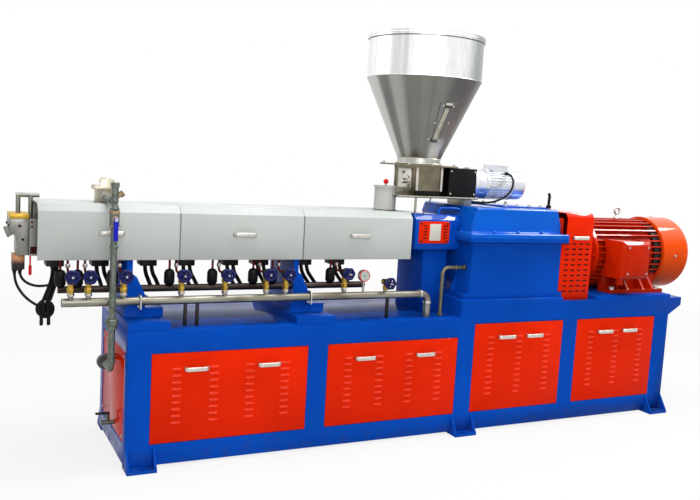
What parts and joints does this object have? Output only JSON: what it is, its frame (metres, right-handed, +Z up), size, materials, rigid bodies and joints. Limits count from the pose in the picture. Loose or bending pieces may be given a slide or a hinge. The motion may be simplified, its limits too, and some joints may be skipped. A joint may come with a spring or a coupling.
{
  "type": "twin-screw plastic extruder",
  "caption": "Twin-screw plastic extruder on a box base: drive motor, gearbox, covered barrel, cooling valves, screw feeder and steel hopper.",
  "frame": {"origin": "on the floor, under the middle of the machine's length and width", "axes": "+X from the die to the drive motor, -Y towards the operator, +Z up"},
  "size_m": [4.426, 0.83, 2.338],
  "materials": {
    "blue_paint": "gloss",
    "red_paint": "gloss",
    "cover_paint": "satin",
    "dark_steel": "satin",
    "bare_steel": "satin",
    "heater_bronze": "satin",
    "stainless": "brushed",
    "sight_glass": "gloss",
    "galvanised_pipe": "satin",
    "brass": "satin",
    "wheel_paint": "gloss",
    "lever_paint": "satin",
    "black_plastic": "matte",
    "gauge_case": "gloss",
    "tube_red": "satin",
    "motor_alloy": "cast",
    "cable_black": "matte"
  },
  "bodies": {
    "machine": {"base_frame": "blue_paint", "foot_brackets": "blue_paint", "front_panels": "red_paint", "rear_panels": "red_paint", "end_panels": "red_paint", "bedplates": "blue_paint", "bow_handles": "bare_steel", "gearbox_housing": "blue_paint", "gearbox_cover": "blue_paint", "oil_pipe": "galvanised_pipe", "lantern": "blue_paint", "lantern_covers": "red_paint", "lantern_pedestal": "blue_paint", "barrel": "dark_steel", "barrel_supports": "blue_paint", "barrel_cover_1": "cover_paint", "barrel_cover_2": "cover_paint", "barrel_cover_3": "cover_paint", "heater_boxes": "dark_steel", "die_adaptor": "bare_steel", "die_head": "dark_steel", "die_heaters": "heater_bronze", "vacuum_port": "bare_steel", "vent_stack": "stainless", "standpipe": "galvanised_pipe", "drain_tap": "galvanised_pipe", "manifolds": "galvanised_pipe", "valve_bodies": "brass", "solenoid_coils": "dark_steel", "cooling_tubes": "tube_red", "pressure_gauge": "gauge_case", "coupling_guard": "red_paint", "motor_frame": "red_paint", "motor_end_bell": "red_paint", "motor_fan_cowl": "red_paint", "motor_terminal_box": "red_paint", "feeder_stand": "bare_steel", "feeder_box": "bare_steel", "feeder_guard": "black_plastic", "feeder_motor": "motor_alloy", "hopper_shell": "stainless", "hopper_lid": "stainless", "hopper_window": "sight_glass", "die_lead_1": "cable_black", "die_lead_2": "cable_black", "trunk_cable": "cable_black", "cable_bunch": "cable_black", "feeder_cable": "cable_black"},
    "handwheel_1": {"handwheel_1": "wheel_paint"},
    "handwheel_2": {"handwheel_2": "wheel_paint"},
    "handwheel_3": {"handwheel_3": "wheel_paint"},
    "handwheel_4": {"handwheel_4": "wheel_paint"},
    "handwheel_5": {"handwheel_5": "wheel_paint"},
    "handwheel_6": {"handwheel_6": "wheel_paint"},
    "handwheel_7": {"handwheel_7": "wheel_paint"},
    "handwheel_8": {"handwheel_8": "wheel_paint"},
    "handwheel_9": {"handwheel_9": "wheel_paint"},
    "valve_lever": {"valve_lever": "lever_paint"},
    "drain_tap_handle": {"drain_tap_handle": "black_plastic"}
  },
  "joints": [
    {"name": "handwheel_1_turn", "type": "hinge", "parent": "machine", "child": "handwheel_1", "pos_m": [-1.928, -0.314, 0.962], "axis": [0, -1, 0], "range_deg": [0, 720]},
    {"name": "handwheel_2_turn", "type": "hinge", "parent": "machine", "child": "handwheel_2", "pos_m": [-1.847, -0.314, 0.962], "axis": [0, -1, 0], "range_deg": [0, 720]},
    {"name": "handwheel_3_turn", "type": "hinge", "parent": "machine", "child": "handwheel_3", "pos_m": [-1.68, -0.314, 0.962], "axis": [0, -1, 0], "range_deg": [0, 720]},
    {"name": "handwheel_4_turn", "type": "hinge", "parent": "machine", "child": "handwheel_4", "pos_m": [-1.395, -0.314, 0.962], "axis": [0, -1, 0], "range_deg": [0, 720]},
    {"name": "handwheel_5_turn", "type": "hinge", "parent": "machine", "child": "handwheel_5", "pos_m": [-1.168, -0.314, 0.962], "axis": [0, -1, 0], "range_deg": [0, 720]},
    {"name": "handwheel_6_turn", "type": "hinge", "parent": "machine", "child": "handwheel_6", "pos_m": [-0.942, -0.314, 0.962], "axis": [0, -1, 0], "range_deg": [0, 720]},
    {"name": "handwheel_7_turn", "type": "hinge", "parent": "machine", "child": "handwheel_7", "pos_m": [-0.832, -0.314, 0.962], "axis": [0, -1, 0], "range_deg": [0, 720]},
    {"name": "handwheel_8_turn", "type": "hinge", "parent": "machine", "child": "handwheel_8", "pos_m": [-0.484, -0.314, 0.962], "axis": [0, -1, 0], "range_deg": [0, 720]},
    {"name": "handwheel_9_turn", "type": "hinge", "parent": "machine", "child": "handwheel_9", "pos_m": [-0.222, -0.314, 0.905], "axis": [0, -1, 0], "range_deg": [0, 720]},
    {"name": "valve_lever_turn", "type": "hinge", "parent": "machine", "child": "valve_lever", "pos_m": [-1.742, -0.3505, 1.238], "axis": [0, -1, 0], "range_deg": [0, 90]},
    {"name": "drain_tap_turn", "type": "hinge", "parent": "machine", "child": "drain_tap_handle", "pos_m": [-1.702, -0.05, 0.203], "axis": [0, 0, 1], "range_deg": [0, 90]}
  ]
}
